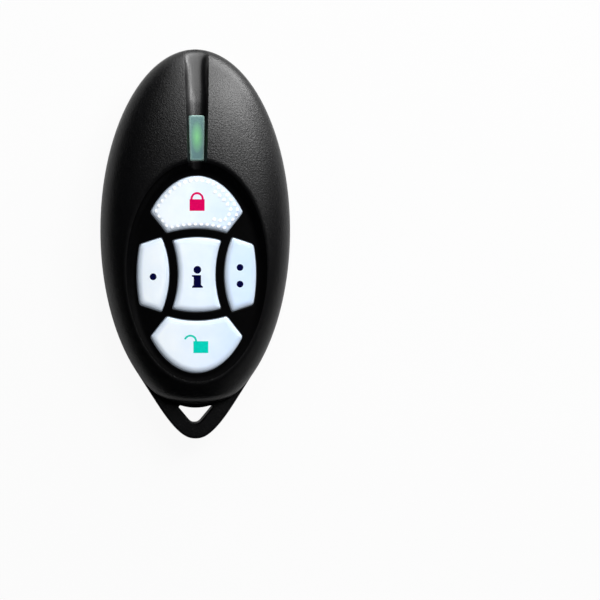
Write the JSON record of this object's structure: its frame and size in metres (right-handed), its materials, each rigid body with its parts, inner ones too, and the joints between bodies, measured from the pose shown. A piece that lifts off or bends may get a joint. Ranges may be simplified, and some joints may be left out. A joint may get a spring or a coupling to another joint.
{
  "type": "alarm key fob",
  "caption": "Oval black remote control for an alarm, with a sunken keypad of pale push keys, a status light in a groove and a key-ring eye at its pointed end.",
  "frame": {"origin": "under the middle of the bounding box, on the flat back that the fob rests on", "axes": "+Z out of the face with the keys, +Y along the fob towards the status light, +X to the right as the face is read"},
  "size_m": [0.038, 0.078, 0.0136],
  "materials": {
    "shell_black": "spark-textured black ABS",
    "window_green": "smooth tinted clear polycarbonate",
    "key_milk": "milky satin polycarbonate with printed pictograms",
    "silicone_grey": "matt moulded silicone",
    "carbon_pill": "matt conductive silicone",
    "board_green": "solder-masked glass-fibre board",
    "pad_gold": "gold-flashed copper",
    "track_copper": "gold-flashed copper",
    "led_body": "white lamp body with a clear cap",
    "chip_black": "moulded epoxy",
    "crystal_can": "nickel-plated can",
    "passive_ceramic": "fired ceramic",
    "cell_steel": "nickel-plated steel",
    "contact_tin": "tin-plated bronze",
    "strap_steel": "spring steel",
    "screw_zinc": "zinc-plated steel"
  },
  "bodies": {
    "housing": {"front_shell": "shell_black", "rear_shell": "shell_black", "status_window": "window_green", "case_screws": "screw_zinc", "keypad_mat": "silicone_grey", "pcb": "board_green", "contact_pads": "pad_gold", "antenna_track": "track_copper", "status_led": "led_body", "controller_chip": "chip_black", "radio_chip": "chip_black", "crystal": "crystal_can", "passives": "passive_ceramic", "coin_cell": "cell_steel", "negative_contact": "contact_tin", "battery_retainer": "strap_steel", "info_key_bell": "silicone_grey", "lock_key_bell": "silicone_grey", "unlock_key_bell": "silicone_grey", "one_dot_key_bell": "silicone_grey", "two_dot_key_bell": "silicone_grey"},
    "info_key": {"info_key": "key_milk", "info_key_plunger": "silicone_grey", "info_key_pill": "carbon_pill"},
    "lock_key": {"lock_key": "key_milk", "lock_key_plunger": "silicone_grey", "lock_key_pill": "carbon_pill"},
    "unlock_key": {"unlock_key": "key_milk", "unlock_key_plunger": "silicone_grey", "unlock_key_pill": "carbon_pill"},
    "one_dot_key": {"one_dot_key": "key_milk", "one_dot_key_plunger": "silicone_grey", "one_dot_key_pill": "carbon_pill"},
    "two_dot_key": {"two_dot_key": "key_milk", "two_dot_key_plunger": "silicone_grey", "two_dot_key_pill": "carbon_pill"}
  },
  "joints": [
    {"name": "info_key_press", "type": "slide", "parent": "housing", "child": "info_key", "axis": [0, 0, -1], "range_m": [0, 0.00065], "stiffness_N_per_m": 1200, "springref_m": -0.0005, "deforming": ["info_key_bell"]},
    {"name": "lock_key_press", "type": "slide", "parent": "housing", "child": "lock_key", "axis": [0, 0, -1], "range_m": [0, 0.00065], "stiffness_N_per_m": 1200, "springref_m": -0.0005, "deforming": ["lock_key_bell"]},
    {"name": "unlock_key_press", "type": "slide", "parent": "housing", "child": "unlock_key", "axis": [0, 0, -1], "range_m": [0, 0.00065], "stiffness_N_per_m": 1200, "springref_m": -0.0005, "deforming": ["unlock_key_bell"]},
    {"name": "one_dot_key_press", "type": "slide", "parent": "housing", "child": "one_dot_key", "axis": [0, 0, -1], "range_m": [0, 0.00065], "stiffness_N_per_m": 1200, "springref_m": -0.0005, "deforming": ["one_dot_key_bell"]},
    {"name": "two_dot_key_press", "type": "slide", "parent": "housing", "child": "two_dot_key", "axis": [0, 0, -1], "range_m": [0, 0.00065], "stiffness_N_per_m": 1200, "springref_m": -0.0005, "deforming": ["two_dot_key_bell"]}
  ]
}
